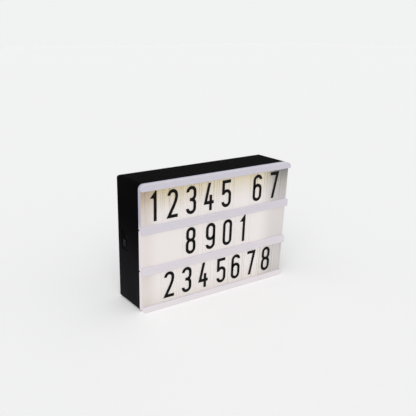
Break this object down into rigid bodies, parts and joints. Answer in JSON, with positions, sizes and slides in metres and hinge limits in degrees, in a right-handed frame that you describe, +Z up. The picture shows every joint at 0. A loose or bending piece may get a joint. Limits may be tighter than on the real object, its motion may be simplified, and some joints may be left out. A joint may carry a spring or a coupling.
{
  "type": "cinema light box",
  "caption": "Small battery light box with a black housing, a lit white front and grooved rails that hold rows of clear slide-in cards with black digits.",
  "frame": {"origin": "on the table under the middle of the box, half way through its depth", "axes": "+Z up, the lit front faces -Y, +X to the right as seen from the front"},
  "size_m": [0.148, 0.04, 0.105],
  "materials": {
    "black_abs": "fine matt texture",
    "opal_panel": "milky, satin, lit from behind",
    "rail_white": "satin",
    "clear_card": "clear film with a printed black digit",
    "knob_black": "ribbed",
    "zinc_screw": "zinc plated",
    "cell_sleeve": "printed sleeve, bare of words",
    "nickel": "nickel plated",
    "white_sheet": "white, matt",
    "led_board": "white solder mask",
    "led": "white package with yellow phosphor",
    "resistor": "black body, bright ends",
    "green_board": "green solder mask",
    "tin_shell": "tin plated",
    "red_wire": "smooth insulation",
    "black_wire": "smooth insulation"
  },
  "bodies": {
    "box": {"rear_housing": "black_abs", "front_panel": "opal_panel", "top_rail": "rail_white", "upper_middle_rail": "rail_white", "lower_middle_rail": "rail_white", "bottom_rail": "rail_white", "case_screws": "zinc_screw", "cell_upper": "cell_sleeve", "cell_middle": "cell_sleeve", "cell_lower": "cell_sleeve", "contact_positive": "nickel", "contact_negative": "nickel", "contact_bridge_left": "nickel", "contact_bridge_right": "nickel", "spring_upper": "nickel", "spring_middle": "nickel", "spring_lower": "nickel", "reflector_sheet": "white_sheet", "led_board_left": "led_board", "led_board_right": "led_board", "leds_left": "led", "leds_right": "led", "resistors": "resistor", "led_board_screws": "zinc_screw", "switch_board": "green_board", "switch_board_screws": "zinc_screw", "switch_body": "tin_shell", "wire_battery_to_switch": "red_wire", "wire_switch_to_leds": "red_wire", "wire_battery_return": "black_wire", "wire_link_red": "red_wire", "wire_link_black": "black_wire"},
    "battery_door": {"battery_door": "black_abs"},
    "switch_slider": {"switch_lever": "knob_black", "switch_knob": "knob_black"},
    "card_top_1": {"card_top_1": "clear_card"},
    "card_top_2": {"card_top_2": "clear_card"},
    "card_top_3": {"card_top_3": "clear_card"},
    "card_top_4": {"card_top_4": "clear_card"},
    "card_top_5": {"card_top_5": "clear_card"},
    "card_top_6": {"card_top_6": "clear_card"},
    "card_top_7": {"card_top_7": "clear_card"},
    "card_middle_1": {"card_middle_1": "clear_card"},
    "card_middle_2": {"card_middle_2": "clear_card"},
    "card_middle_3": {"card_middle_3": "clear_card"},
    "card_middle_4": {"card_middle_4": "clear_card"},
    "card_bottom_1": {"card_bottom_1": "clear_card"},
    "card_bottom_2": {"card_bottom_2": "clear_card"},
    "card_bottom_3": {"card_bottom_3": "clear_card"},
    "card_bottom_4": {"card_bottom_4": "clear_card"},
    "card_bottom_5": {"card_bottom_5": "clear_card"},
    "card_bottom_6": {"card_bottom_6": "clear_card"},
    "card_bottom_7": {"card_bottom_7": "clear_card"}
  },
  "joints": [
    {"name": "battery_door_tilt", "type": "hinge", "parent": "box", "child": "battery_door", "pos_m": [0, 0.01915, 0.00855], "axis": [-1, 0, 0], "range_deg": [0, 90]},
    {"name": "switch_slide", "type": "slide", "parent": "box", "child": "switch_slider", "axis": [0, 0, 1], "range_m": [0, 0.004]},
    {"name": "card_top_1_slide", "type": "slide", "parent": "box", "child": "card_top_1", "axis": [1, 0, 0], "range_m": [-0.0041, 0.145]},
    {"name": "card_top_2_slide", "type": "slide", "parent": "card_top_1", "child": "card_top_2", "axis": [1, 0, 0], "range_m": [-0.0013, 0.016]},
    {"name": "card_top_3_slide", "type": "slide", "parent": "card_top_2", "child": "card_top_3", "axis": [1, 0, 0], "range_m": [-0.0018, 0.016]},
    {"name": "card_top_4_slide", "type": "slide", "parent": "card_top_3", "child": "card_top_4", "axis": [1, 0, 0], "range_m": [-0.0018, 0.016]},
    {"name": "card_top_5_slide", "type": "slide", "parent": "card_top_4", "child": "card_top_5", "axis": [1, 0, 0], "range_m": [-0.0021, 0.016]},
    {"name": "card_top_6_slide", "type": "slide", "parent": "card_top_5", "child": "card_top_6", "axis": [1, 0, 0], "range_m": [-0.0173, 0.016]},
    {"name": "card_top_7_slide", "type": "slide", "parent": "card_top_6", "child": "card_top_7", "axis": [1, 0, 0], "range_m": [-0.0028, 0.016]},
    {"name": "card_middle_1_slide", "type": "slide", "parent": "box", "child": "card_middle_1", "axis": [1, 0, 0], "range_m": [-0.0386, 0.11]},
    {"name": "card_middle_2_slide", "type": "slide", "parent": "card_middle_1", "child": "card_middle_2", "axis": [1, 0, 0], "range_m": [-0.0043, 0.016]},
    {"name": "card_middle_3_slide", "type": "slide", "parent": "card_middle_2", "child": "card_middle_3", "axis": [1, 0, 0], "range_m": [-0.002, 0.016]},
    {"name": "card_middle_4_slide", "type": "slide", "parent": "card_middle_3", "child": "card_middle_4", "axis": [1, 0, 0], "range_m": [-0.0011, 0.016]},
    {"name": "card_bottom_1_slide", "type": "slide", "parent": "box", "child": "card_bottom_1", "axis": [1, 0, 0], "range_m": [-0.0182, 0.131]},
    {"name": "card_bottom_2_slide", "type": "slide", "parent": "card_bottom_1", "child": "card_bottom_2", "axis": [1, 0, 0], "range_m": [-0.0017, 0.016]},
    {"name": "card_bottom_3_slide", "type": "slide", "parent": "card_bottom_2", "child": "card_bottom_3", "axis": [1, 0, 0], "range_m": [-0.0015, 0.016]},
    {"name": "card_bottom_4_slide", "type": "slide", "parent": "card_bottom_3", "child": "card_bottom_4", "axis": [1, 0, 0], "range_m": [-0.0034, 0.016]},
    {"name": "card_bottom_5_slide", "type": "slide", "parent": "card_bottom_4", "child": "card_bottom_5", "axis": [1, 0, 0], "range_m": [-0.0001, 0.016]},
    {"name": "card_bottom_6_slide", "type": "slide", "parent": "card_bottom_5", "child": "card_bottom_6", "axis": [1, 0, 0], "range_m": [-0.0016, 0.016]},
    {"name": "card_bottom_7_slide", "type": "slide", "parent": "card_bottom_6", "child": "card_bottom_7", "axis": [1, 0, 0], "range_m": [-0.0018, 0.016]}
  ]
}
